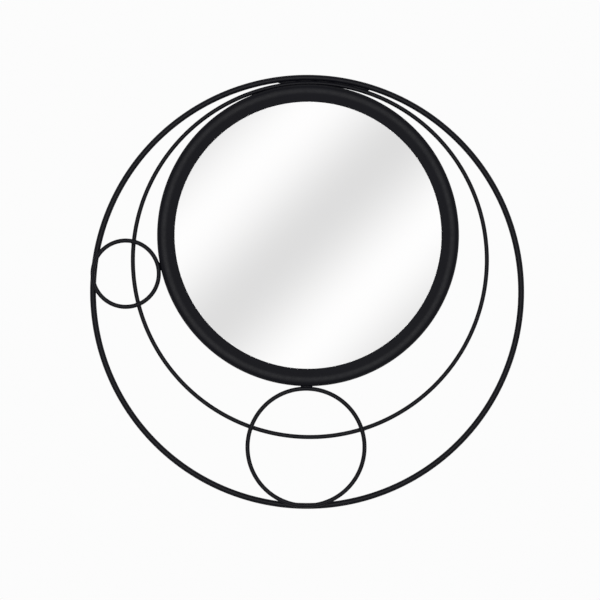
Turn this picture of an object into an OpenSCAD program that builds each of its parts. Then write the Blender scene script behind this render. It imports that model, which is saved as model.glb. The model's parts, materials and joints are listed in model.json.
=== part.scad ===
// Round wall mirror in a rounded metal moulding, set among four wire rings.
// Front towards -Y, +Z up. The origin is on the wall, behind the middle of the glass,
// halfway between the entry holes of the two keyhole hangers.

/* [Rings] */
// Outside diameter of the outer ring
outer_ring_od = 611; // [590:0.5:640]
// Thickness of the outer ring's round bar
outer_bar_d = 8.5; // [7:0.5:10]
// Outside diameter of the middle ring
middle_ring_od = 504; // [480:1:530]
// Thickness of the wire of the middle, bottom and side rings
wire_d = 6; // [5:0.5:7]
// Distance from the wall to the back of the outer ring
ring_standoff = 2; // [2:0.5:5]
// Direction from the outer ring's middle to where the middle ring is welded to it, in degrees
middle_ring_turn = 85; // [75:1:105]
// Direction from the middle ring's middle to where the moulding is welded to it, in degrees
frame_turn = 94.2; // [80:0.2:105]
// Direction from the moulding's middle to the side ring, in degrees
side_ring_turn = 191.9; // [185:0.1:198]
// Direction from the outer ring's middle to the bottom ring, in degrees
bottom_ring_turn = 269.6; // [265:0.2:275]
// How far the bottom ring's wire lies inside the line of the outer ring's bar
bottom_ring_inset = 1; // [0:0.1:2]
// Gap between the moulding and the bottom ring, closed by a weld
bridge_gap = 0.4; // [0.3:0.1:2.5]

/* [Moulding] */
// Outside diameter of the moulding
frame_od = 424; // [400:1:440]
// Width of the moulding, seen from the front
frame_w = 24.6; // [23:0.2:28]
// Distance from the moulding's edge to its crown
crown_in = 8.7; // [7.5:0.1:9.5]
// Radius of the moulding's gently rounded crown
crown_r = 18; // [15:0.5:24]
// Radius of the bend between the crown and the side wall
shoulder_r = 6.8; // [6:0.1:7.2]
// Fall of the flat part towards the glass, in degrees
fascia_slope = 18; // [14:0.5:24]
// Radius of the bend at the glass
lip_r = 1.5; // [1.5:0.1:2]
// Straight depth of the lip behind its bend
lip_depth = 1; // [0.8:0.1:1.5]
// Lean of the side wall inwards to the back, in degrees
side_draft = 10; // [6:0.5:12]
// Distance from the wall to the back edge of the moulding
frame_standoff = 3; // [2:0.1:5]
// Thickness of the moulding's sheet metal
sheet_t = 1.2; // [0.8:0.1:1.4]

/* [Glass and backing] */
// Thickness of the mirror glass
glass_t = 3; // [3:0.5:4]
// How far the glass reaches behind the moulding, past its visible edge
glass_cover = 5.6; // [5:0.1:6]
// Thickness of the foam sheet
foam_t = 1.5; // [1:0.1:2]
// Thickness of the backing board
board_t = 3; // [2.5:0.1:3.2]
// Thickness of the back ring's sheet metal
back_ring_t = 1.2; // [1:0.1:1.5]
// Width of the gasket between moulding and glass
gasket_w = 3.5; // [2.5:0.1:4]

/* [Turn clips] */
// Direction of the first turn clip, in degrees
first_clip_turn = 22.5; // [20:0.5:25]
// Length of a clip from its screw to its tip
clip_reach = 16; // [14:0.5:18]
// Width of a clip
clip_w = 10; // [8:0.5:11]
// Thickness of a clip
clip_t = 1.2; // [0.8:0.1:1.4]
// Diameter of the clip screws
clip_screw_d = 3.5; // [3:0.1:4]
// Length of a clip screw under its head
clip_screw_l = 7; // [5:0.5:8]

/* [Hangers and bumpers] */
// Width of a hanger
hanger_w = 12; // [11:0.5:12.5]
// Thickness of a hanger's sheet metal
hanger_t = 1.5; // [1:0.1:1.8]
// Length of a hanger's raised middle
hanger_middle_l = 25; // [23:0.5:26]
// Run of a hanger's slanted legs
hanger_leg_run = 2.5; // [2:0.1:3]
// Length of each foot of a hanger
hanger_foot_l = 7; // [6.5:0.1:7.5]
// Distance from the back ring's inner edge to a hanger
hanger_edge = 0.8; // [0.5:0.1:1]
// Diameter of the keyhole's round entry
keyhole_d = 8; // [7:0.1:8.5]
// Width of the keyhole's slot
keyhole_slot_w = 4.4; // [4:0.1:5]
// Travel from the entry to the top of the slot
keyhole_run = 9; // [8:0.5:10]
// Diameter of the hanger rivets
rivet_d = 3.2; // [2.4:0.1:3.5]
// Direction of the first bumper, in degrees
first_bumper_turn = 45; // [42:1:48]
// Diameter of a bumper where it meets the back ring
bumper_d = 11; // [10:0.5:12]
// Diameter of a bumper's face on the wall
bumper_face_d = 10; // [9:0.5:11]
// Diameter of the bumper screws
bumper_screw_d = 3; // [2.5:0.1:3.5]

/* [Welds] */
// Width of a weld bead
weld_w = 3.6; // [3:0.1:4.5]
// Length of the welds where two bars run side by side
seam_weld_l = 24; // [16:1:30]
// Number of welds in the row between the outer and the middle ring
row_weld_count = 5; // [1:2:5]
// Space between the welds of that row
row_space = 1.5; // [1:0.5:4]
// Length of the weld that bridges from the moulding to the bottom ring
bridge_weld_l = 17; // [12:1:20]
// Length of the side ring's welds to the moulding and the outer ring
touch_weld_l = 12; // [8:1:16]
// Diameter of the weld where a small ring crosses the middle ring
crossing_weld_d = 8.9; // [8:0.1:9.6]
// Diameter of the tack welds between back ring and moulding
tack_weld_d = 2.4; // [2:0.1:3]

/* [Fits] */
// Gap between two bars that a weld closes
weld_gap = 0.2; // [0.15:0.05:0.4]
// Small gap between pieces that are held close together
rest_gap = 0.3; // [0.2:0.05:0.5]
// Room round the edges of the glass, foam and board
edge_fit = 0.4; // [0.3:0.05:0.6]
// Room all round a screw in the piece that turns on it
pivot_fit = 0.2; // [0.1:0.05:0.3]
// Room all round a screw or rivet in the piece that it holds
hole_fit = 0.05; // [0.02:0.01:0.1]

/* [Hidden] */
$fn = 96;

// Colours
satin_black = [0.13, 0.13, 0.14];
zinc = [0.72, 0.73, 0.75];
aluminium_grey = [0.8, 0.8, 0.82];
silvered = [0.9, 0.93, 0.94];
rubber_black = [0.08, 0.08, 0.08];
foam_white = [0.93, 0.93, 0.92];
board_brown = [0.55, 0.42, 0.3];

// Every piece is drawn lying on its back, x to the right, y up and z away from the wall,
// and on_wall() stands it up.
outer_bar_r = outer_bar_d / 2;
wire_r = wire_d / 2;
outer_line_r = outer_ring_od / 2 - outer_bar_r;
middle_line_r = middle_ring_od / 2 - wire_r;
frame_r = frame_od / 2;

// Heights of the bars' centre lines off the wall: the two large rings are flush in front,
// and the small rings lie on them
outer_z = ring_standoff + outer_bar_r;
middle_z = outer_z + outer_bar_r - wire_r;
crossing_z = outer_z + outer_bar_r + weld_gap / 2;
small_z = crossing_z + weld_gap / 2 + wire_r;

// Section of the moulding, as [distance from its axis, height off the wall]
function aim(turn) = [cos(turn), sin(turn)];
function arc(centre, radius, first, last, steps, from = 0) =
    [for (i = [from : steps]) centre + radius * aim(first + (last - first) * i / steps)];
shoulder_centre = [frame_r - shoulder_r, small_z];
shoulder_turn = acos((crown_in - shoulder_r) / (crown_r - shoulder_r));
crown_centre = shoulder_centre - (crown_r - shoulder_r) * aim(shoulder_turn);
crown_turn = 90 + fascia_slope;
side_top = shoulder_centre + shoulder_r * aim(-side_draft);
function side_r(height) = side_top[0] - (side_top[1] - height) * tan(side_draft);
function side_inner_r(height) = side_r(height) - sheet_t / cos(side_draft);
sight_r = frame_r - frame_w;
fascia_edge = crown_centre + crown_r * aim(crown_turn);
function fascia_z(radius) = fascia_edge[1] - (fascia_edge[0] - radius) * tan(fascia_slope);
function fascia_under_z(radius) = fascia_z(radius) - sheet_t / cos(fascia_slope);
bend_centre = [sight_r + lip_r, fascia_z(sight_r + lip_r) - lip_r / cos(fascia_slope)];
lip_back_z = bend_centre[1] - lip_depth;

// The stack behind the lip
glass_r = sight_r + glass_cover;
pocket_r = glass_r + edge_fit;
glass_front_z = lip_back_z - rest_gap;
glass_back_z = glass_front_z - glass_t;
foam_back_z = glass_back_z - foam_t;
board_back_z = foam_back_z - board_t;
gasket_r = sight_r + sheet_t + rest_gap;
flange_z = board_back_z;
flange_r = side_inner_r(flange_z) - rest_gap;
flange_middle_r = (pocket_r + flange_r) / 2;
pocket_wall_top_z = fascia_under_z(pocket_r) - rest_gap;

// Places of the rings' centres, found from the welds between them
middle_shift = middle_line_r - wire_r - weld_gap - side_r(middle_z);
middle_centre = -middle_shift * aim(frame_turn);
bars_apart = outer_bar_r + wire_r + weld_gap;
bars_step = middle_z - outer_z;
bars_side_step = sqrt(pow(bars_apart, 2) - pow(bars_step, 2));
outer_shift = outer_line_r - middle_line_r - bars_side_step;
outer_centre = middle_centre - outer_shift * aim(middle_ring_turn);

// The side ring touches the moulding and its edge is flush with the outer ring's edge
side_start_r = frame_r + weld_gap;
side_start = side_start_r * aim(side_ring_turn) - outer_centre;
outer_edge_r = outer_ring_od / 2;
side_ring_r = (pow(outer_edge_r, 2) - side_start * side_start)
    / (2 * (side_start * aim(side_ring_turn) + outer_edge_r));
side_line_r = side_ring_r - wire_r;
side_centre = (side_start_r + side_ring_r) * aim(side_ring_turn);

// The bottom ring fills the space from the bridge under the moulding to the outer ring's bar
bottom_edge_r = outer_line_r - bottom_ring_inset + wire_r;
bottom_end = outer_centre + bottom_edge_r * aim(bottom_ring_turn);
bridge_far_r = frame_r + bridge_gap;
bottom_ring_r = (bottom_end * bottom_end - pow(bridge_far_r, 2))
    / (2 * (bridge_far_r + bottom_end * aim(bottom_ring_turn)));
bottom_line_r = bottom_ring_r - wire_r;
bottom_centre = bottom_end - bottom_ring_r * aim(bottom_ring_turn);

// Welds. Where a wire runs beside another piece, the weld lies in the groove behind the two.
function turn_of(point) = atan2(point[1], point[0]);
function middle_crossing(centre, line_r, side) =
    let (step = centre - middle_centre)
    let (apart = norm(step))
    let (opening = acos((pow(apart, 2) + pow(middle_line_r, 2) - pow(line_r, 2))
        / (2 * apart * middle_line_r)))
    middle_centre + middle_line_r * aim(turn_of(step) + side * opening);
groove_share = 0.4;
groove_drop = groove_share * wire_d;
groove_wire_side = sqrt(pow(wire_r, 2) - pow(groove_drop, 2));
groove_in = (wire_r + groove_wire_side) / 2;
bead_steps = 16;
tack_count = 12;

// The row of welds between the outer and the middle ring fills the gap that widens from the
// place where they touch
row_drop_share = 0.5;
row_z = middle_z - row_drop_share * wire_r;
row_step = (seam_weld_l + row_space) / (outer_line_r - outer_bar_r) * 180 / PI;
middle_step = middle_centre - outer_centre;
function middle_line_at(turn) =
    let (along = middle_step * aim(turn))
    along + sqrt(pow(middle_line_r, 2) - middle_step * middle_step + pow(along, 2));
function row_line_r(turn) = (outer_line_r - outer_bar_r + middle_line_at(turn) + wire_r) / 2;
function row_turn(i) = middle_ring_turn + (i - (row_weld_count - 1) / 2) * row_step;

// Clips, screws, hangers and bumpers
clip_count = 8;
screw_head_spread = 1.85;
screw_head_rise = 1.1;
rivet_head_spread = 1.8;
rivet_head_rise = 0.75;
recess_share = 0.6;
slit_share = 0.25;
clip_z = flange_z - rest_gap - clip_t;
clip_tip_r = clip_w / 2;
clip_screw_r = clip_screw_d / 2;
clip_head_z = clip_z - rest_gap;
clip_head_r = screw_head_spread * clip_screw_r;
clip_head_h = screw_head_rise * clip_screw_r;
hanger_centre_r = pocket_r + hanger_edge + hanger_w / 2;
hanger_half_l = hanger_middle_l / 2 + hanger_leg_run + hanger_foot_l;
keyhole_r = keyhole_d / 2;
keyhole_slot_r = keyhole_slot_w / 2;
rivet_r = rivet_d / 2;
rivet_head_r = rivet_head_spread * rivet_r;
rivet_head_h = rivet_head_rise * rivet_r;
rivet_place = hanger_half_l - hanger_foot_l / 2;
bumper_count = 4;
bumper_screw_r = bumper_screw_d / 2;
bumper_head_r = screw_head_spread * bumper_screw_r;
bumper_head_h = screw_head_rise * bumper_screw_r;
bumper_recess_r = bumper_head_r + rest_gap;
bumper_floor = 2;
bumper_screw_l = bumper_floor + 2 * back_ring_t;
cut_over = 1;

module on_wall() {
    rotate([90, 0, 0])
        children();
}

// Shapes used by several pieces
module ring(centre, line_r, bar_r, height) {
    translate([centre[0], centre[1], height])
        rotate_extrude()
            translate([line_r, 0])
                circle(r = bar_r);
}

// A weld bead, fat in its middle, that lies along a bar at the given direction
module bead(line_r, turn, height, length, width) {
    rotate([0, 0, turn])
        translate([line_r, 0, height])
            rotate([90, 0, 0])
                rotate_extrude()
                    polygon([
                        for (i = [0 : bead_steps])
                            let (t = i * 180 / bead_steps)
                            [width / 2 * sin(t), length / 2 * cos(t)]
                    ]);
}

module domed_head(radius, height) {
    rim = height / 2;
    dome_r = (pow(radius, 2) + pow(height - rim, 2)) / (2 * (height - rim));
    slit_w = slit_share * radius;
    slit_l = 2 * recess_share * radius;
    slit_deep = recess_share * height;
    difference() {
        intersection() {
            translate([0, 0, -height])
                cylinder(h = height, r = radius);
            translate([0, 0, dome_r - height])
                sphere(r = dome_r);
        }
        for (turn = [0, 90])
            rotate([0, 0, turn])
                translate([-slit_l / 2, -slit_w / 2, -height - cut_over])
                    cube([slit_l, slit_w, slit_deep + cut_over]);
    }
}

module at(place) {
    translate([place[0], place[1], 0])
        children();
}

// Rings
module outer_ring() {
    color(satin_black)
        on_wall()
            ring(outer_centre, outer_line_r, outer_bar_r, outer_z);
}

module middle_ring() {
    color(satin_black)
        on_wall()
            ring(middle_centre, middle_line_r, wire_r, middle_z);
}

module bottom_ring() {
    color(satin_black)
        on_wall()
            ring(bottom_centre, bottom_line_r, wire_r, small_z);
}

module side_ring() {
    color(satin_black)
        on_wall()
            ring(side_centre, side_line_r, wire_r, small_z);
}

// Welds, run into the bars that they join
module crossing_welds(centre, line_r) {
    for (side = [-1, 1])
        at(middle_crossing(centre, line_r, side))
            translate([0, 0, crossing_z])
                sphere(d = crossing_weld_d);
}

module weld_outer_to_middle_ring() {
    color(satin_black)
        on_wall()
            at(outer_centre)
                for (i = [0 : row_weld_count - 1])
                    bead(row_line_r(row_turn(i)), row_turn(i), row_z, seam_weld_l, weld_w);
}

module weld_middle_ring_to_moulding() {
    color(satin_black)
        on_wall()
            at(middle_centre)
                bead(middle_line_r - groove_in - weld_gap / 2, frame_turn,
                    middle_z - groove_drop, seam_weld_l, weld_w);
}

module welds_bottom_ring() {
    color(satin_black)
        on_wall() {
            bead(frame_r + bridge_gap / 2, turn_of(bottom_centre), small_z, bridge_weld_l, weld_w);
            crossing_welds(bottom_centre, bottom_line_r);
            at(bottom_centre)
                bead(bottom_line_r, bottom_ring_turn, crossing_z, seam_weld_l, weld_w);
        }
}

module welds_side_ring() {
    color(satin_black)
        on_wall() {
            bead(frame_r + weld_gap / 2 + wire_r - groove_in, side_ring_turn,
                small_z - groove_drop, touch_weld_l, weld_w);
            crossing_welds(side_centre, side_line_r);
            at(side_centre)
                bead(side_line_r, turn_of(side_centre - outer_centre), crossing_z,
                    touch_weld_l, weld_w);
        }
}

// Moulding and back ring
module frame_moulding() {
    shoulder_steps = 18;
    crown_steps = 12;
    bend_steps = 6;
    color(satin_black)
        on_wall()
            rotate_extrude()
                polygon(concat(
                    [[side_r(frame_standoff), frame_standoff]],
                    arc(shoulder_centre, shoulder_r, -side_draft, shoulder_turn, shoulder_steps),
                    arc(crown_centre, crown_r, shoulder_turn, crown_turn, crown_steps, 1),
                    arc(bend_centre, lip_r, crown_turn, 180, bend_steps),
                    [[sight_r, lip_back_z], [sight_r + sheet_t, lip_back_z]],
                    arc(bend_centre, lip_r - sheet_t, 180, crown_turn, bend_steps),
                    arc(crown_centre, crown_r - sheet_t, crown_turn, shoulder_turn, crown_steps),
                    arc(shoulder_centre, shoulder_r - sheet_t, shoulder_turn, -side_draft,
                        shoulder_steps, 1),
                    [[side_inner_r(frame_standoff), frame_standoff]]
                ));
}

module on_flange(turn) {
    rotate([0, 0, turn])
        translate([flange_middle_r, 0, 0])
            children();
}

module hole_through_flange(radius) {
    translate([0, 0, flange_z - cut_over])
        cylinder(h = back_ring_t + 2 * cut_over, r = radius);
}

module back_ring() {
    color(satin_black)
        on_wall()
            difference() {
                rotate_extrude()
                    polygon([
                        [pocket_r, flange_z],
                        [flange_r, flange_z],
                        [flange_r, flange_z + back_ring_t],
                        [pocket_r + back_ring_t, flange_z + back_ring_t],
                        [pocket_r + back_ring_t, pocket_wall_top_z],
                        [pocket_r, pocket_wall_top_z]
                    ]);
                for (i = [0 : clip_count - 1])
                    on_flange(clip_turn(i))
                        hole_through_flange(clip_screw_r + hole_fit);
                for (i = [0 : bumper_count - 1])
                    on_flange(bumper_turn(i))
                        hole_through_flange(bumper_screw_r + hole_fit);
                at_each_rivet()
                    hole_through_flange(rivet_r + hole_fit);
            }
}

module back_ring_tacks() {
    color(satin_black)
        on_wall()
            for (i = [0 : tack_count - 1])
                rotate([0, 0, (i + 0.5) * 360 / tack_count])
                    translate([flange_r, 0, flange_z])
                        sphere(d = tack_weld_d);
}

// Glass and what lies behind it
module disc(radius, back_z, front_z) {
    translate([0, 0, back_z])
        cylinder(h = front_z - back_z, r = radius);
}

module glass_gasket() {
    color(rubber_black)
        on_wall()
            rotate_extrude()
                polygon([
                    [gasket_r, glass_front_z],
                    [gasket_r + gasket_w, glass_front_z],
                    [gasket_r + gasket_w, fascia_under_z(gasket_r + gasket_w)],
                    [gasket_r, fascia_under_z(gasket_r)]
                ]);
}

module mirror_glass() {
    color(silvered)
        on_wall()
            disc(glass_r, glass_back_z, glass_front_z);
}

module foam_sheet() {
    color(foam_white)
        on_wall()
            disc(glass_r, foam_back_z, glass_back_z);
}

module backing_board() {
    color(board_brown)
        on_wall()
            disc(glass_r, board_back_z, foam_back_z);
}

// Turn clips and their screws
function clip_turn(i) = first_clip_turn + i * 360 / clip_count;

module turn_clip(number) {
    color(zinc)
        on_wall()
            on_flange(clip_turn(number - 1))
                translate([0, 0, clip_z])
                    linear_extrude(clip_t)
                        difference() {
                            union() {
                                circle(r = clip_tip_r);
                                translate([clip_tip_r - clip_reach, 0])
                                    circle(r = clip_tip_r);
                                translate([clip_tip_r - clip_reach, -clip_tip_r])
                                    square([clip_reach - clip_tip_r, clip_w]);
                            }
                            circle(r = clip_screw_r + pivot_fit);
                        }
}

module clip_screws() {
    color(zinc)
        on_wall()
            for (i = [0 : clip_count - 1])
                on_flange(clip_turn(i))
                    translate([0, 0, clip_head_z]) {
                        domed_head(clip_head_r, clip_head_h);
                        cylinder(h = clip_screw_l, r = clip_screw_r);
                    }
}

// Keyhole hangers and their rivets
module hanger(side) {
    middle = hanger_middle_l / 2;
    leg_end = middle + hanger_leg_run;
    color(zinc)
        on_wall()
            translate([side * hanger_centre_r, keyhole_run / 2, 0])
                difference() {
                    translate([-hanger_w / 2, 0, 0])
                        rotate([90, 0, 90])
                            linear_extrude(hanger_w)
                                polygon([
                                    [-middle, 0],
                                    [middle, 0],
                                    [leg_end, flange_z - hanger_t],
                                    [hanger_half_l, flange_z - hanger_t],
                                    [hanger_half_l, flange_z],
                                    [leg_end - hanger_t / 2, flange_z],
                                    [middle - hanger_t / 2, hanger_t],
                                    [hanger_t / 2 - middle, hanger_t],
                                    [hanger_t / 2 - leg_end, flange_z],
                                    [-hanger_half_l, flange_z],
                                    [-hanger_half_l, flange_z - hanger_t],
                                    [-leg_end, flange_z - hanger_t]
                                ]);
                    translate([0, -keyhole_run / 2, -cut_over])
                        cylinder(h = hanger_t + 2 * cut_over, r = keyhole_r);
                    translate([0, keyhole_run / 2, -cut_over])
                        cylinder(h = hanger_t + 2 * cut_over, r = keyhole_slot_r);
                    translate([-keyhole_slot_r, -keyhole_run / 2, -cut_over])
                        cube([keyhole_slot_w, keyhole_run, hanger_t + 2 * cut_over]);
                    for (end = [-1, 1])
                        translate([0, end * rivet_place, flange_z - hanger_t - cut_over])
                            cylinder(h = hanger_t + 2 * cut_over, r = rivet_r + hole_fit);
                }
}

module at_each_rivet() {
    for (side = [-1, 1], end = [-1, 1])
        translate([side * hanger_centre_r, keyhole_run / 2 + end * rivet_place, 0])
            children();
}

module hanger_rivets() {
    rear_z = flange_z - hanger_t;
    front_z = flange_z + back_ring_t;
    color(aluminium_grey)
        on_wall()
            at_each_rivet() {
                translate([0, 0, rear_z - rivet_head_h])
                    cylinder(h = rivet_head_h, r = rivet_head_r);
                translate([0, 0, rear_z])
                    cylinder(h = front_z - rear_z, r = rivet_r);
                translate([0, 0, front_z])
                    cylinder(h = rivet_head_h, r = rivet_head_r);
            }
}

// Rubber bumpers and their screws
function bumper_turn(i) = first_bumper_turn + i * 360 / bumper_count;

module wall_bumpers() {
    color(rubber_black)
        on_wall()
            for (i = [0 : bumper_count - 1])
                on_flange(bumper_turn(i))
                    difference() {
                        cylinder(h = flange_z, r1 = bumper_face_d / 2, r2 = bumper_d / 2);
                        translate([0, 0, -cut_over])
                            cylinder(h = flange_z - bumper_floor + cut_over, r = bumper_recess_r);
                        cylinder(h = flange_z + cut_over, r = bumper_screw_r + hole_fit);
                    }
}

module bumper_screws() {
    color(zinc)
        on_wall()
            for (i = [0 : bumper_count - 1])
                on_flange(bumper_turn(i))
                    translate([0, 0, flange_z - bumper_floor]) {
                        domed_head(bumper_head_r, bumper_head_h);
                        cylinder(h = bumper_screw_l, r = bumper_screw_r);
                    }
}

outer_ring();
middle_ring();
bottom_ring();
side_ring();
weld_outer_to_middle_ring();
weld_middle_ring_to_moulding();
welds_bottom_ring();
welds_side_ring();
frame_moulding();
back_ring();
back_ring_tacks();
glass_gasket();
mirror_glass();
foam_sheet();
backing_board();
turn_clip(1);  // turn_clip_1
turn_clip(2);  // turn_clip_2
turn_clip(3);  // turn_clip_3
turn_clip(4);  // turn_clip_4
turn_clip(5);  // turn_clip_5
turn_clip(6);  // turn_clip_6
turn_clip(7);  // turn_clip_7
turn_clip(8);  // turn_clip_8
clip_screws();
hanger(-1);  // left_hanger
hanger(1);  // right_hanger
hanger_rivets();
wall_bumpers();
bumper_screws();
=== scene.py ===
"""Looks of a round wall mirror in a rounded black moulding among four wire rings."""

import json
import math

import bmesh
import bpy
from bpy.props import FloatProperty, FloatVectorProperty, IntProperty, PointerProperty
from mathutils import Matrix, Vector

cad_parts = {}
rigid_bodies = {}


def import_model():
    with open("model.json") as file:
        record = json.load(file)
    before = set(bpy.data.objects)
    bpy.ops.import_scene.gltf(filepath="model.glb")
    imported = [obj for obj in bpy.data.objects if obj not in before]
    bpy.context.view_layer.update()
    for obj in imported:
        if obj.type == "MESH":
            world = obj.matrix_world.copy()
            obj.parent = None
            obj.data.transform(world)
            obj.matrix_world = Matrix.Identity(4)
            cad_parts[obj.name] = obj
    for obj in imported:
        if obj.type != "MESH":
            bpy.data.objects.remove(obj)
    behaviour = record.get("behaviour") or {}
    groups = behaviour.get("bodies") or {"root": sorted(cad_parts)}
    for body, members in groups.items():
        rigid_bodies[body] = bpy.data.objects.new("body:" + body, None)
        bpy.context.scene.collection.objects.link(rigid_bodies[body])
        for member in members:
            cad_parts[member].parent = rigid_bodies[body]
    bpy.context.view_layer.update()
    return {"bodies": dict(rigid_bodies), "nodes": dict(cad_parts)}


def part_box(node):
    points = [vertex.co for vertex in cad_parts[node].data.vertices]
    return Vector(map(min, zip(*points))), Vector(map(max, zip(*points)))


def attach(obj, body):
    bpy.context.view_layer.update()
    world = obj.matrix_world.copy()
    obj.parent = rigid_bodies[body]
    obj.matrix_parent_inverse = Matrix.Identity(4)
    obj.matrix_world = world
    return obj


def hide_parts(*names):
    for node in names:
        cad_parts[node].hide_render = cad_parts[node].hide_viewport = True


bl_info = {
    "name": "Ring mirror looks",
    "version": (1, 0, 0),
    "blender": (4, 5, 0),
    "location": "3D View > Sidebar > Mirror",
    "description": "Builds the finished surfaces of the ring mirror around its packed frame",
    "category": "Object",
}

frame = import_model()

FRONT = Vector((0, -1, 0))
FIXED_BODY = "mirror"
FULL_TURN = 2 * math.pi
CORNER_GAP = 1e-6
SEAM_GAP = 1e-7
UNLIT = "unlit_by_lamps"
RINGS = ("outer_ring", "middle_ring", "bottom_ring", "side_ring")
CLIPS = [name for name in frame["bodies"] if name.startswith("turn_clip")]
WELD_ROW = "weld_outer_to_middle_ring"
WELDS = (WELD_ROW, "weld_middle_ring_to_moulding", "welds_bottom_ring",
         "welds_side_ring", "back_ring_tacks")


def node_size(node):
    """Size of a frame node's box along X, Y and Z."""
    low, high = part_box(node)
    return high - low


def node_middle(node):
    """Middle of a frame node's box."""
    low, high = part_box(node)
    return (low + high) / 2


class RingMirrorShape(bpy.types.PropertyGroup):
    """Sizes of the details that the frame leaves out."""

    ring_steps: IntProperty(
        name="Ring steps", description="Steps round each ring", default=288, min=48)
    bar_sides: IntProperty(
        name="Bar sides", description="Sides of each ring's round bar", default=32, min=8)
    moulding_steps: IntProperty(
        name="Moulding steps", description="Steps round the moulding", default=360, min=48)
    sheet_edge: FloatProperty(
        name="Sheet edge", description="Rounding of cut sheet metal edges",
        default=0.0002, unit="LENGTH")
    glass_arris: FloatProperty(
        name="Glass arris", description="Width of the ground edge of the glass",
        default=0.0005, unit="LENGTH")
    board_edge: FloatProperty(
        name="Board edge", description="Rounding of the backing board's edge",
        default=0.0003, unit="LENGTH")
    rubber_edge: FloatProperty(
        name="Rubber edge", description="Rounding of the bumpers' edges",
        default=0.0004, unit="LENGTH")
    screw_edge: FloatProperty(
        name="Screw edge", description="Rounding of the screw heads' edges",
        default=0.00008, unit="LENGTH")
    ripple_pitch: FloatProperty(
        name="Ripple pitch", description="Distance between the ripples of a weld bead",
        default=0.0014, unit="LENGTH")
    ripple_depth: FloatProperty(
        name="Ripple depth", description="Depth of the ripples of a weld bead",
        default=0.00012, unit="LENGTH")
    weld_run_on: FloatProperty(
        name="Weld run-on", description="Length by which each bead of the row overlaps the next",
        default=0.0038, unit="LENGTH")


class RingMirrorFinish(bpy.types.PropertyGroup):
    """Colours and gloss of the finishes."""

    black: FloatVectorProperty(
        name="Black", description="Colour of the satin black powder coat", subtype="COLOR",
        default=(0.0024, 0.0024, 0.0041))
    black_gloss: FloatProperty(
        name="Black gloss", description="Strength of the black coat's reflection",
        default=0.0755, min=0, max=1)
    black_roughness: FloatProperty(
        name="Black roughness", description="Roughness of the black coat",
        default=0.44, min=0, max=1)
    silver: FloatVectorProperty(
        name="Silver", description="Tint of the silvered glass", subtype="COLOR",
        default=(0.975, 0.972, 0.972))
    glass_edge: FloatVectorProperty(
        name="Glass edge", description="Colour of the ground glass edge", subtype="COLOR",
        default=(0.35, 0.5, 0.44))
    glass_paint: FloatVectorProperty(
        name="Glass paint", description="Protective paint on the back of the glass",
        subtype="COLOR", default=(0.2, 0.21, 0.22))
    zinc: FloatVectorProperty(
        name="Zinc", description="Colour of the zinc plated steel", subtype="COLOR",
        default=(0.5, 0.505, 0.51))
    aluminium: FloatVectorProperty(
        name="Aluminium", description="Colour of the rivets", subtype="COLOR",
        default=(0.6, 0.6, 0.61))
    rubber: FloatVectorProperty(
        name="Rubber", description="Colour of the gasket and the bumpers", subtype="COLOR",
        default=(0.022, 0.022, 0.022))
    foam: FloatVectorProperty(
        name="Foam", description="Colour of the foam sheet", subtype="COLOR",
        default=(0.82, 0.82, 0.8))
    board: FloatVectorProperty(
        name="Board", description="Colour of the hardboard", subtype="COLOR",
        default=(0.25, 0.145, 0.075))
    floor: FloatVectorProperty(
        name="Floor", description="Colour of the floor", subtype="COLOR",
        default=(0.72, 0.72, 0.72))


class RingMirrorStage(bpy.types.PropertyGroup):
    """Camera, light and floor."""

    view_distance: FloatProperty(
        name="View distance", description="Distance of the camera from the rings' front",
        default=3.5, unit="LENGTH")
    view_width: FloatProperty(
        name="View width", description="Width of the view at the rings' front",
        default=0.8433, unit="LENGTH")
    view_right: FloatProperty(
        name="View right", description="Camera's place to the right of the glass's middle",
        default=-0.0113, unit="LENGTH")
    view_up: FloatProperty(
        name="View up", description="Camera's place above the glass's middle",
        default=-0.0909, unit="LENGTH")
    background: FloatProperty(
        name="Background", description="Brightness of the background, where 1 is white",
        default=0.973, min=0, max=1)
    room_light: FloatProperty(
        name="Room light", description="Brightness of the light from all round",
        default=0.65, min=0)
    upper_left_power: FloatProperty(
        name="Upper left power", description="Power of the lamps above and left of the view",
        default=27.4, unit="POWER")
    lower_right_power: FloatProperty(
        name="Lower right power", description="Power of the lamps below and right of the view",
        default=19, unit="POWER")
    lamp_width: FloatProperty(
        name="Lamp width", description="Width of the strip lamps round the view",
        default=0.3, unit="LENGTH")
    lamp_margin: FloatProperty(
        name="Lamp margin", description="Room between the lamps and what the glass reflects",
        default=0.04, unit="LENGTH")
    back_power: FloatProperty(
        name="Back power", description="Power of the lamp behind the mirror",
        default=30, unit="POWER")
    back_lamp_size: FloatProperty(
        name="Back lamp size", description="Width of the lamp behind the mirror",
        default=3.0, unit="LENGTH")
    back_lamp_distance: FloatProperty(
        name="Back lamp distance", description="Distance of the lamp behind the mirror",
        default=3.6, unit="LENGTH")
    back_lamp_height: FloatProperty(
        name="Back lamp height", description="Height of the back lamp above the glass's middle",
        default=1.0, unit="LENGTH")
    floor_drop: FloatProperty(
        name="Floor drop", description="Distance of the floor below the glass's middle",
        default=1.3, unit="LENGTH")
    floor_radius: FloatProperty(
        name="Floor radius", description="Radius of the floor", default=2.5, unit="LENGTH")


def shape():
    """The sizes of the details."""
    return bpy.context.scene.ring_mirror_shape


def finish():
    """The colours and gloss."""
    return bpy.context.scene.ring_mirror_finish


def stage():
    """The settings of camera, light and floor."""
    return bpy.context.scene.ring_mirror_stage


# Materials

def feed(tree, node, inputs):
    """Sets a node's inputs to values, or links them where a value is another node's output."""
    for name, value in inputs.items():
        if isinstance(value, bpy.types.NodeSocket):
            tree.links.new(value, node.inputs[name])
        else:
            node.inputs[name].default_value = value


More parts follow.
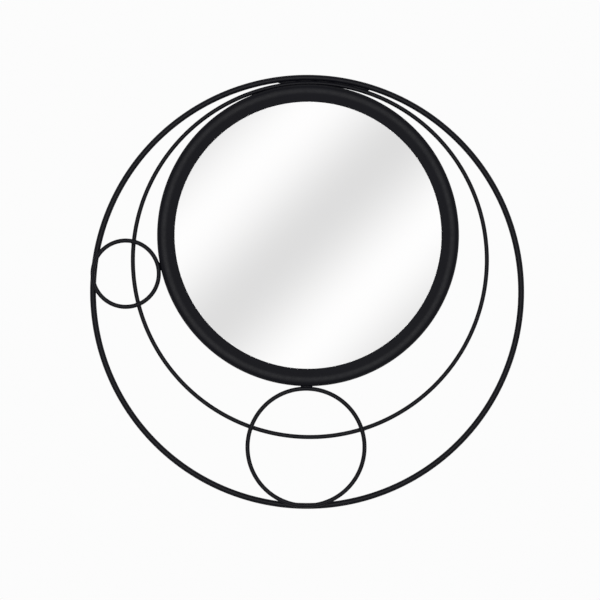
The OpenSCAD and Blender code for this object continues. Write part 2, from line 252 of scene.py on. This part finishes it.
def shader_node(tree, kind, inputs=None, **settings):
    """Adds a shader node with its settings, and sets or links its inputs."""
    made = tree.nodes.new(kind)
    for name, value in settings.items():
        setattr(made, name, value)
    feed(tree, made, inputs or {})
    return made


def math_step(tree, operation, *values):
    """The result of a Math node on numbers or other nodes' outputs."""
    made = shader_node(tree, "ShaderNodeMath", dict(enumerate(values)), operation=operation)
    return made.outputs["Value"]


def blend(tree, factor, first, second, data_type="FLOAT", blend_type="MIX"):
    """Runs from the first to the second as factor runs from 0 to 1."""
    made = shader_node(
        tree, "ShaderNodeMix", {"Factor": factor, "A": first, "B": second},
        data_type=data_type, blend_type=blend_type)
    return made.outputs["Result"]


def new_finish(name, **values):
    """A material with its Principled shader's own sockets set."""
    material = bpy.data.materials.new(name)
    material.use_nodes = True
    surface = material.node_tree.nodes["Principled BSDF"]
    for socket, value in values.items():
        surface.inputs[socket.replace("_", " ")].default_value = value
    return material, material.node_tree, surface


def place_of(tree, scale=(1, 1, 1)):
    """The point on the object, in metres, stretched by scale."""
    place = shader_node(tree, "ShaderNodeTexCoord").outputs["Object"]
    mapping = shader_node(tree, "ShaderNodeMapping", {"Vector": place, "Scale": scale})
    return mapping.outputs["Vector"]


def noise(tree, vector, scale, detail=2.0, roughness=0.5):
    """A cloudy value between 0 and 1, with finer clouds for a larger scale."""
    made = shader_node(tree, "ShaderNodeTexNoise", {
        "Vector": vector, "Scale": scale, "Detail": detail, "Roughness": roughness})
    return made.outputs["Fac"]


def spread(tree, value, low, high, low_at=0.3, high_at=0.7):
    """Spreads a noise value between two numbers."""
    made = shader_node(tree, "ShaderNodeMapRange", {
        "Value": value, "From Min": low_at, "From Max": high_at, "To Min": low, "To Max": high})
    return made.outputs["Result"]


def two_tone(tree, value, dark, light, low_at=0.3, high_at=0.7):
    """A colour that runs between two tones with a noise value."""
    ramp = shader_node(tree, "ShaderNodeValToRGB", {"Fac": value})
    ramp.color_ramp.elements[0].position = low_at
    ramp.color_ramp.elements[1].position = high_at
    ramp.color_ramp.elements[0].color = (*dark, 1)
    ramp.color_ramp.elements[1].color = (*light, 1)
    return ramp.outputs["Color"]


def toned(colour, share):
    """A colour made darker by a share below 1 or lighter by one above it."""
    return tuple(min(1.0, channel * share) for channel in colour)


def mottled(tree, place, colour, scale, dark=1.0, light=1.0, detail=2.0):
    """A colour that runs in clouds from its dark to its light share."""
    clouds = noise(tree, place, scale, detail)
    return two_tone(tree, clouds, toned(colour, dark), toned(colour, light))


def uneven(tree, place, scale, low, high):
    """A number that runs in clouds from low to high."""
    return spread(tree, noise(tree, place, scale), low, high)


def bump(tree, height, depth, before=None):
    """Bumps of a depth in metres, on top of the bumps before them."""
    inputs = {"Strength": 1.0, "Distance": depth, "Height": height}
    if before is not None:
        inputs["Normal"] = before
    return shader_node(tree, "ShaderNodeBump", inputs).outputs["Normal"]


def powder_coat():
    """Satin black powder coat with its fine orange peel."""
    look = finish()
    roughness_range = 0.03
    material, tree, surface = new_finish(
        "satin_black_powder_coat", Specular_IOR_Level=look.black_gloss)
    place = place_of(tree)
    peel = bump(tree, noise(tree, place, scale=700, detail=1.0), depth=0.00003)
    feed(tree, surface, {
        "Base Color": mottled(tree, place, look.black, scale=25, dark=0.9, light=1.12),
        "Roughness": uneven(tree, place, scale=180, low=look.black_roughness - roughness_range,
                            high=look.black_roughness + roughness_range),
        "Normal": bump(tree, noise(tree, place, scale=3200), depth=0.000006, before=peel)})
    return material


def silvered_face():
    """The reflecting face of the glass."""
    material, tree, surface = new_finish("silvered_glass", Metallic=1.0)
    place = place_of(tree)
    feed(tree, surface, {
        "Base Color": mottled(tree, place, finish().silver, scale=3, dark=0.997),
        "Roughness": uneven(tree, place, scale=40, low=0.004, high=0.012)})
    return material


def ground_glass_edge():
    """The greenish ground edge of the glass."""
    material, tree, surface = new_finish("ground_glass_edge", IOR=1.5)
    place = place_of(tree)
    feed(tree, surface, {
        "Base Color": mottled(tree, place, finish().glass_edge, scale=60, dark=0.85),
        "Roughness": uneven(tree, place, scale=900, low=0.35, high=0.5)})
    return material


def back_paint():
    """The grey paint that protects the silvering."""
    material, tree, surface = new_finish("mirror_back_paint")
    place = place_of(tree)
    feed(tree, surface, {
        "Base Color": mottled(tree, place, finish().glass_paint, scale=30, dark=0.93),
        "Roughness": uneven(tree, place, scale=250, low=0.45, high=0.6)})
    return material


def zinc_plate():
    """Zinc plated steel with its faint spangle and rolling lines."""
    look = finish()
    along_x = (1, 1, 40)
    material, tree, surface = new_finish("zinc_plate", Metallic=1.0)
    spangle = shader_node(tree, "ShaderNodeTexVoronoi", {"Vector": place_of(tree), "Scale": 420})
    patches = shader_node(tree, "ShaderNodeRGBToBW", {"Color": spangle.outputs["Color"]})
    lines = noise(tree, place_of(tree, along_x), scale=90, detail=3.0)
    feed(tree, surface, {
        "Base Color": two_tone(tree, patches.outputs["Val"], toned(look.zinc, share=0.86),
                               look.zinc, low_at=0.2, high_at=0.8),
        "Roughness": spread(tree, lines, low=0.28, high=0.42),
        "Normal": bump(tree, lines, depth=0.000012)})
    return material


def rivet_metal():
    """Plain aluminium, a little scuffed by the rivet setter."""
    material, tree, surface = new_finish("rivet_aluminium", Metallic=1.0)
    place = place_of(tree)
    feed(tree, surface, {
        "Base Color": mottled(tree, place, finish().aluminium, scale=500, dark=0.88),
        "Roughness": uneven(tree, place, scale=900, low=0.25, high=0.45)})
    return material


def black_rubber():
    """Matt moulded rubber."""
    material, tree, surface = new_finish("black_rubber", Specular_IOR_Level=0.3)
    place = place_of(tree)
    feed(tree, surface, {
        "Base Color": mottled(tree, place, finish().rubber, scale=120, dark=0.85, light=1.25),
        "Roughness": uneven(tree, place, scale=700, low=0.62, high=0.8),
        "Normal": bump(tree, noise(tree, place, scale=1500), depth=0.00002)})
    return material


def white_foam():
    """Closed-cell foam sheet."""
    look = finish()
    material, tree, surface = new_finish("white_foam", Roughness=0.9)
    voronoi = shader_node(tree, "ShaderNodeTexVoronoi", {"Vector": place_of(tree), "Scale": 900})
    cells = voronoi.outputs["Distance"]
    feed(tree, surface, {
        "Base Color": two_tone(tree, cells, toned(look.foam, share=0.9), look.foam,
                               low_at=0.0, high_at=0.6),
        "Normal": bump(tree, cells, depth=0.0001)})
    return material


def hardboard():
    """Pressed wood fibre with dark and pale flecks."""
    along_x, along_z = (1, 1, 5), (5, 1, 1)
    dark_fleck, pale_fleck = (0.45, 0.42, 0.4), (1.25, 1.2, 1.15)
    material, tree, surface = new_finish("hardboard")
    board = mottled(tree, place_of(tree), finish().board, scale=14, dark=0.85, light=1.12,
                    detail=4.0)
    fibres = noise(tree, place_of(tree, along_x), scale=380, detail=4.0, roughness=0.7)
    crossing = noise(tree, place_of(tree, along_z), scale=330, detail=4.0, roughness=0.7)
    both = math_step(tree, "MULTIPLY", fibres, crossing)
    flecks = two_tone(tree, both, dark_fleck, pale_fleck, low_at=0.12, high_at=0.42)
    feed(tree, surface, {
        "Base Color": blend(tree, 1.0, board, flecks, data_type="RGBA", blend_type="MULTIPLY"),
        "Roughness": spread(tree, both, low=0.5, high=0.7, low_at=0.1, high_at=0.4),
        "Normal": bump(tree, both, depth=0.00008)})
    return material


made_finishes = {}


def shared(make):
    """The material that a function makes, made only once."""
    name = make.__name__
    if name not in made_finishes:
        made_finishes[name] = make()
    return made_finishes[name]


# Mesh helpers

def shade(bm, sharp_degrees):
    """Shades a bmesh smoothly, with crisp borders at its corners and round its large flats."""
    least_border_degrees = 5
    flat_to_border_area = 15
    for face in bm.faces:
        face.smooth = True
    for edge in bm.edges:
        if len(edge.link_faces) != 2:
            continue
        turn = math.degrees(edge.calc_face_angle(0))
        small, large = sorted(face.calc_area() for face in edge.link_faces)
        flat_border = turn > least_border_degrees and large > flat_to_border_area * small
        edge.smooth = turn < sharp_degrees and not flat_border


def finished_piece(name, bm, makers, nodes, body=FIXED_BODY, sharp_degrees=50):
    """Makes a piece from a bmesh, gives it its finishes and puts it in the place of its nodes."""
    shade(bm, sharp_degrees)
    mesh = bpy.data.meshes.new(name)
    bm.to_mesh(mesh)
    bm.free()
    for make in makers:
        mesh.materials.append(shared(make))
    piece = bpy.data.objects.new(name, mesh)
    bpy.context.scene.collection.objects.link(piece)
    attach(piece, body)
    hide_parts(*nodes)
    return piece


def dress_node(node, make):
    """Gives a frame node its finish."""
    part = frame["nodes"][node]
    if not part.material_slots:
        raise RuntimeError(f"{node} has no material slot")
    for slot in part.material_slots:
        slot.material = shared(make)


def joined_copy(node):
    """A bmesh of a frame node with its triangles joined at their corners."""
    bm = bmesh.new()
    bm.from_mesh(frame["nodes"][node].data)
    bmesh.ops.remove_doubles(bm, verts=bm.verts, dist=CORNER_GAP)
    return bm


def merged_copy(node):
    """A joined copy of a frame node with its flat faces whole."""
    flat_degrees = 0.05
    bm = joined_copy(node)
    bmesh.ops.dissolve_limit(
        bm, angle_limit=math.radians(flat_degrees), use_dissolve_boundaries=False,
        verts=bm.verts, edges=bm.edges)
    return bm


def round_edges(bm, width, least_turn=40, segments=2):
    """Rounds the edges of a bmesh that turn by more than an angle in degrees."""
    edges = [
        edge for edge in bm.edges
        if len(edge.link_faces) == 2 and math.degrees(edge.calc_face_angle(0)) > least_turn
    ]
    bmesh.ops.bevel(
        bm, geom=edges, offset=width, offset_type="OFFSET", segments=segments, profile=0.5,
        affect="EDGES", material=-1, clamp_overlap=True)


def spin_round(bm, outline, steps, centre=(0, 0, 0)):
    """Spins an outline of edges once round the axis through centre that faces the viewer."""
    bmesh.ops.spin(
        bm, geom=outline, cent=centre, axis=FRONT, dvec=(0, 0, 0), angle=FULL_TURN,
        steps=steps, use_merge=True, use_duplicate=False)
    bmesh.ops.remove_doubles(bm, verts=bm.verts, dist=SEAM_GAP)
    bmesh.ops.recalc_face_normals(bm, faces=bm.faces)


def cut_outline(node):
    """The outline of a round node, cut out of its right-hand side on the level of its middle."""
    bm = joined_copy(node)
    middle = node_middle(node)
    bmesh.ops.bisect_plane(
        bm, geom=bm.verts[:] + bm.edges[:] + bm.faces[:], dist=SEAM_GAP, plane_co=middle,
        plane_no=(0, 0, 1), clear_inner=True, clear_outer=True)
    left = [vert for vert in bm.verts if vert.co.x < middle.x]
    bmesh.ops.delete(bm, geom=left, context="VERTS")
    return bm


# Rings

def ring_mesh(node):
    """A round bar bent to a circle, as large as the frame's ring."""
    size, middle = node_size(node), node_middle(node)
    bar_radius = size.y / 2
    line_radius = min(size.x, size.z) / 2 - bar_radius
    bm = bmesh.new()
    bmesh.ops.create_circle(
        bm, cap_ends=False, segments=shape().bar_sides, radius=bar_radius,
        matrix=Matrix.Translation(middle + Vector((line_radius, 0, 0))))
    spin_round(bm, bm.verts[:] + bm.edges[:], shape().ring_steps, middle)
    return bm


class RINGMIRROR_OT_rings(bpy.types.Operator):
    """Build the four rings of round bar"""

    bl_idname = "ring_mirror.rings"
    bl_label = "Rings"

    def execute(self, context):
        for node in RINGS:
            finished_piece(node + "_bar", ring_mesh(node), [powder_coat], [node])
        return {"FINISHED"}


# Moulding

class RINGMIRROR_OT_moulding(bpy.types.Operator):
    """Build the rounded sheet metal moulding round the glass"""

    bl_idname = "ring_mirror.moulding"
    bl_label = "Moulding"

    def execute(self, context):
        flat_length = 0.002
        flat_cuts = 7
        sheet_corner = 60
        bm = cut_outline("frame_moulding")
        if not bm.edges:
            raise RuntimeError("the moulding's outline is empty")
        flats = [edge for edge in bm.edges if edge.calc_length() > flat_length]
        bmesh.ops.subdivide_edges(bm, edges=flats, cuts=flat_cuts)
        spin_round(bm, bm.verts[:] + bm.edges[:], shape().moulding_steps)
        round_edges(bm, shape().sheet_edge, least_turn=sheet_corner)
        finished_piece("moulding_shell", bm, [powder_coat], ["frame_moulding"])
        return {"FINISHED"}


# Welds

def islands(bm):
    """The separate solids of a bmesh, each as a list of its vertices."""
    seen = set()
    found = []
    for start in bm.verts:
        if start in seen:
            continue
        seen.add(start)
        island = [start]
        for vert in island:
            for edge in vert.link_edges:
                other = edge.other_vert(vert)
                if other not in seen:
                    seen.add(other)
                    island.append(other)
        found.append(island)
    return found


def bead_measures(verts):
    """Middle, direction, half length and half width of a weld bead."""
    middle = sum((vert.co for vert in verts), Vector()) / len(verts)
    far = max(verts, key=lambda vert: (vert.co - middle).length)
    along = far.co - middle
    half_length = along.length
    along.normalize()
    half_width = max(
        ((vert.co - middle) - along * (vert.co - middle).dot(along)).length for vert in verts)
    return middle, along, half_length, half_width


def rippled_weld(bm, middle, along, half_length, half_width):
    """Adds a weld bead with its ripples, which lag a little to one side."""
    pitch, depth = shape().ripple_pitch, shape().ripple_depth
    bead = bmesh.ops.create_uvsphere(bm, u_segments=24, v_segments=64, radius=1)
    turn = Vector((0, 0, 1)).rotation_difference(along).to_matrix().to_4x4()
    for vert in bead["verts"]:
        way = vert.co.z * half_length
        lag = vert.co.x * pitch / 2
        ripple = 1 - depth / half_width * (0.5 - 0.5 * math.cos(FULL_TURN * (way + lag) / pitch))
        vert.co = Vector((vert.co.x * ripple * half_width, vert.co.y * ripple * half_width, way))
    bmesh.ops.transform(
        bm, matrix=Matrix.Translation(middle) @ turn, verts=bead["verts"])


def weld_mesh(node, run_on):
    """A bead in the place of each solid of a weld node, longer at its left by run_on."""
    source = joined_copy(node)
    bm = bmesh.new()
    for verts in islands(source):
        middle, along, half_length, half_width = bead_measures(verts)
        if along.x > 0:
            along.negate()
        rippled_weld(
            bm, middle + along * run_on / 2, along, half_length + run_on / 2, half_width)
    source.free()
    bmesh.ops.recalc_face_normals(bm, faces=bm.faces)
    return bm


class RINGMIRROR_OT_welds(bpy.types.Operator):
    """Build the weld beads between the rings, the moulding and the back ring"""

    bl_idname = "ring_mirror.welds"
    bl_label = "Welds"

    def execute(self, context):
        for node in WELDS:
            beads = weld_mesh(node, shape().weld_run_on if node == WELD_ROW else 0)
            finished_piece(node + "_beads", beads, [powder_coat], [node],
                           sharp_degrees=180)
        return {"FINISHED"}


# Glass and backing

def disc_mesh(node, edge_width, edge_segments):
    """A round sheet as large as a frame node, with its edges eased."""
    low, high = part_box(node)
    radius = node_size(node).z / 2
    back = Matrix.Translation((0, high.y, 0)) @ Matrix.Rotation(math.pi / 2, 4, "X")
    bm = bmesh.new()
    bmesh.ops.create_circle(
        bm, cap_ends=True, segments=shape().moulding_steps, radius=radius, matrix=back)
    front = bmesh.ops.extrude_face_region(bm, geom=bm.faces[:])
    moved = [item for item in front["geom"] if isinstance(item, bmesh.types.BMVert)]
    bmesh.ops.translate(bm, vec=(0, low.y - high.y, 0), verts=moved)
    bmesh.ops.recalc_face_normals(bm, faces=bm.faces)
    round_edges(bm, edge_width, segments=edge_segments)
    return bm


class RINGMIRROR_OT_glass(bpy.types.Operator):
    """Build the silvered glass with its ground edge and painted back"""

    bl_idname = "ring_mirror.glass"
    bl_label = "Mirror glass"

    def execute(self, context):
        bm = disc_mesh("mirror_glass", shape().glass_arris, edge_segments=1)
        silver, edge, paint = range(3)
        least_facing = 0.9
        for face in bm.faces:
            facing = face.normal.dot(FRONT)
            if facing > least_facing:
                face.material_index = silver
            elif facing < -least_facing:
                face.material_index = paint
            else:
                face.material_index = edge
        finished_piece("silvered_glass_pane", bm, [silvered_face, ground_glass_edge, back_paint],
                       ["mirror_glass"])
        return {"FINISHED"}


class RINGMIRROR_OT_backing(bpy.types.Operator):
    """Build the backing board, and finish the gasket and the foam sheet"""

    bl_idname = "ring_mirror.backing"
    bl_label = "Gasket, foam and board"

    def execute(self, context):
        board = disc_mesh("backing_board", shape().board_edge, edge_segments=2)
        finished_piece("backing_board_sheet", board, [hardboard], ["backing_board"])
        dress_node("glass_gasket", black_rubber)
        dress_node("foam_sheet", white_foam)
        return {"FINISHED"}


# Metal fittings

def softened_piece(node, make, width, body=FIXED_BODY, segments=2):
    """A piece with the shape of a frame node and rounded edges."""
    bm = merged_copy(node)
    round_edges(bm, width, segments=segments)
    return finished_piece(node + "_finished", bm, [make], [node], body)


class RINGMIRROR_OT_back_ring(bpy.types.Operator):
    """Build the angle ring that carries the fittings"""

    bl_idname = "ring_mirror.back_ring"
    bl_label = "Back ring"

    def execute(self, context):
        softened_piece("back_ring", powder_coat, shape().sheet_edge)
        return {"FINISHED"}


class RINGMIRROR_OT_turn_clips(bpy.types.Operator):
    """Build the turn clips that hold the backing board"""

    bl_idname = "ring_mirror.turn_clips"
    bl_label = "Turn clips"

    def execute(self, context):
        for clip in CLIPS:
            softened_piece(clip, zinc_plate, shape().sheet_edge, clip)
        return {"FINISHED"}


class RINGMIRROR_OT_hangers(bpy.types.Operator):
    """Build the two keyhole hangers"""

    bl_idname = "ring_mirror.hangers"
    bl_label = "Keyhole hangers"

    def execute(self, context):
        for node in ("left_hanger", "right_hanger"):
            softened_piece(node, zinc_plate, shape().sheet_edge)
        return {"FINISHED"}


class RINGMIRROR_OT_fasteners(bpy.types.Operator):
    """Build the screws and the rivets"""

    bl_idname = "ring_mirror.fasteners"
    bl_label = "Screws and rivets"

    def execute(self, context):
        for node in ("clip_screws", "bumper_screws"):
            softened_piece(node, zinc_plate, shape().screw_edge)
        softened_piece("hanger_rivets", rivet_metal, shape().sheet_edge)
        return {"FINISHED"}


class RINGMIRROR_OT_bumpers(bpy.types.Operator):
    """Build the rubber bumpers that rest on the wall"""

    bl_idname = "ring_mirror.bumpers"
    bl_label = "Wall bumpers"

    def execute(self, context):
        softened_piece("wall_bumpers", black_rubber, shape().rubber_edge,
                       segments=3)
        return {"FINISHED"}


# Stage

def where_seen(tree):
    """1 for what the camera, gloss and glass see, and 0 for light that falls on things."""
    rays = shader_node(tree, "ShaderNodeLightPath").outputs
    direct = math_step(tree, "MAXIMUM", rays["Is Camera Ray"], rays["Is Glossy Ray"])
    return math_step(tree, "MAXIMUM", direct, rays["Is Transmission Ray"])


def fade(tree, value, start, end):
    """Rises softly from 0 to 1 as a value runs from start to end."""
    made = shader_node(
        tree, "ShaderNodeMapRange", {"Value": value, "From Min": start, "From Max": end},
        interpolation_type="SMOOTHSTEP")
    return made.outputs["Result"]


def studio_white(tree):
    """White all round, with soft grey stripes in front of the mirror that its glass shows."""
    stripe_width = 0.0944
    stripe_shift = 0.0241
    stripe_middle = 0.884
    stripe_depth = 0.1336
    front_edge, front_full = -0.1, -0.5
    floor_start, floor_full = -0.35, -0.45
    direction = shader_node(tree, "ShaderNodeTexCoord").outputs["Generated"]
    x, y, z = shader_node(tree, "ShaderNodeSeparateXYZ", {"Vector": direction}).outputs
    across = math_step(tree, "ADD", math_step(tree, "SUBTRACT", x, z), stripe_shift)
    wave = math_step(tree, "COSINE", math_step(tree, "MULTIPLY", across, FULL_TURN / stripe_width))
    striped = math_step(tree, "MULTIPLY_ADD", wave, -stripe_depth, stripe_middle)
    plain = math_step(tree, "MAXIMUM", fade(tree, y, front_full, front_edge),
                      fade(tree, z, floor_start, floor_full))
    in_glass = blend(tree, plain, striped, 1.0)
    glossy = shader_node(tree, "ShaderNodeLightPath").outputs["Is Glossy Ray"]
    return blend(tree, glossy, stage().background, in_glass)


def build_room():
    """The room's even light, seen as a white background."""
    world = bpy.data.worlds.new("studio")
    world.use_nodes = True
    bpy.context.scene.world = world
    tree = world.node_tree
    tree.nodes.clear()
    light = stage().room_light
    lit = shader_node(tree, "ShaderNodeBackground", {"Color": (light, light, light, 1)})
    seen = shader_node(tree, "ShaderNodeBackground", {"Color": studio_white(tree)})
    mixed = shader_node(tree, "ShaderNodeMixShader", {
        "Fac": where_seen(tree), 1: lit.outputs["Background"], 2: seen.outputs["Background"]})
    shader_node(tree, "ShaderNodeOutputWorld", {"Surface": mixed.outputs["Shader"]})


def pale_floor():
    """A white floor with a glow of its own, about as pale as the background."""
    glow = 0.5
    material, tree, surface = new_finish(
        "pale_floor", Roughness=0.8, Emission_Color=(1, 1, 1, 1))
    feed(tree, surface, {
        "Base Color": mottled(tree, place_of(tree), finish().floor, scale=2, dark=0.985),
        "Emission Strength": math_step(tree, "MULTIPLY", where_seen(tree), glow)})
    return material


def build_floor():
    """The floor, which the room lights evenly and the lamps leave alone."""
    bm = bmesh.new()
    bmesh.ops.create_circle(
        bm, cap_ends=True, segments=128, radius=stage().floor_radius,
        matrix=Matrix.Translation((0, 0, -stage().floor_drop)))
    mesh = bpy.data.meshes.new("floor")
    bm.to_mesh(mesh)
    bm.free()
    mesh.materials.append(shared(pale_floor))
    floor = bpy.data.objects.new("floor", mesh)
    bpy.context.scene.collection.objects.link(floor)
    unlit = bpy.data.collections.new(UNLIT)
    unlit.objects.link(floor)
    unlit.collection_objects[0].light_linking.link_state = "EXCLUDE"


def aimed(holder, place, target):
    """Puts a lamp or the camera in its place, turned to its target, and into the scene."""
    holder.location = place
    holder.rotation_euler = (Vector(target) - Vector(place)).to_track_quat("-Z", "Y").to_euler()
    bpy.context.scene.collection.objects.link(holder)


def build_camera():
    """The camera stands square in front, as in the photograph."""
    sensor_width = 36
    view = stage()
    camera = bpy.data.cameras.new("camera")
    camera.sensor_width = sensor_width
    camera.lens = sensor_width * view.view_distance / view.view_width
    holder = bpy.data.objects.new("camera", camera)
    rings_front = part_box("outer_ring")[0].y
    aimed(holder, (view.view_right, rings_front - view.view_distance, view.view_up),
          (view.view_right, 0, view.view_up))
    bpy.context.scene.camera = holder


def soft_lamp(name, power, width, height, place, target):
    """A soft lamp that the camera doesn't see and the floor isn't lit by."""
    lamp = bpy.data.lights.new(name, "AREA")
    lamp.shape = "RECTANGLE"
    lamp.size = width
    lamp.size_y = height
    lamp.energy = power
    holder = bpy.data.objects.new(name, lamp)
    holder.visible_camera = False
    holder.light_linking.receiver_collection = bpy.data.collections[UNLIT]
    aimed(holder, place, target)


def build_lamps():
    """Strip lamps round the view, just outside what the glass shows, and a lamp behind."""
    view = stage()
    lamp_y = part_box("mirror_glass")[0].y - view.view_distance
    middle = Vector((-view.view_right, lamp_y, -view.view_up))
    glass_radius = node_size("mirror_glass").z / 2
    reach = 2 * glass_radius + view.lamp_margin
    away = reach + view.lamp_width / 2
    length = 2 * (reach + view.lamp_width)
    strips = (
        ("upper_lamp", view.upper_left_power, length, view.lamp_width, (0, away)),
        ("left_lamp", view.upper_left_power, view.lamp_width, length, (-away, 0)),
        ("right_lamp", view.lower_right_power, view.lamp_width, length, (away, 0)),
        ("lower_lamp", view.lower_right_power, length, view.lamp_width, (0, -away)),
    )
    for name, power, width, height, (right, up) in strips:
        place = middle + Vector((right, 0, up))
        soft_lamp(name, power, width, height, place, place - FRONT)
    soft_lamp("back_lamp", view.back_power, view.back_lamp_size, view.back_lamp_size,
              (0, view.back_lamp_distance, view.back_lamp_height), (0, 0, 0))


class RINGMIRROR_OT_stage(bpy.types.Operator):
    """Build the floor, the room, the lamps and the camera"""

    bl_idname = "ring_mirror.stage"
    bl_label = "Stage"

    def execute(self, context):
        build_room()
        build_floor()
        build_camera()
        build_lamps()
        context.scene.view_settings.view_transform = "Standard"
        return {"FINISHED"}


# Panel and start

OPERATORS = (
    RINGMIRROR_OT_rings, RINGMIRROR_OT_moulding, RINGMIRROR_OT_welds, RINGMIRROR_OT_glass,
    RINGMIRROR_OT_backing, RINGMIRROR_OT_back_ring, RINGMIRROR_OT_turn_clips,
    RINGMIRROR_OT_hangers, RINGMIRROR_OT_fasteners, RINGMIRROR_OT_bumpers, RINGMIRROR_OT_stage,
)


class RINGMIRROR_PT_panel(bpy.types.Panel):
    """Lists the operators and the settings"""

    bl_idname = "RINGMIRROR_PT_panel"
    bl_label = "Ring mirror"
    bl_space_type = "VIEW_3D"
    bl_region_type = "UI"
    bl_category = "Mirror"

    def draw(self, context):
        column = self.layout.column()
        for operator in OPERATORS:
            column.operator(operator.bl_idname)
        for group in (shape(), finish(), stage()):
            for name in group.bl_rna.properties.keys():
                if name not in ("rna_type", "name"):
                    column.prop(group, name)


SETTINGS = {
    "ring_mirror_shape": RingMirrorShape,
    "ring_mirror_finish": RingMirrorFinish,
    "ring_mirror_stage": RingMirrorStage,
}
CLASSES = (*SETTINGS.values(), *OPERATORS, RINGMIRROR_PT_panel)


def register():
    """Registers the classes and gives the scene its settings."""
    for each in CLASSES:
        bpy.utils.register_class(each)
    for name, group in SETTINGS.items():
        setattr(bpy.types.Scene, name, PointerProperty(type=group))


def unregister():
    """Takes the settings and the classes away again."""
    for name in SETTINGS:
        delattr(bpy.types.Scene, name)
    for each in reversed(CLASSES):
        bpy.utils.unregister_class(each)


def main():
    """Builds the mirror and the stage."""
    register()
    for operator in OPERATORS:
        name = operator.bl_idname.split(".")[1]
        getattr(bpy.ops.ring_mirror, name)()


if __name__ == "__main__":
    main()
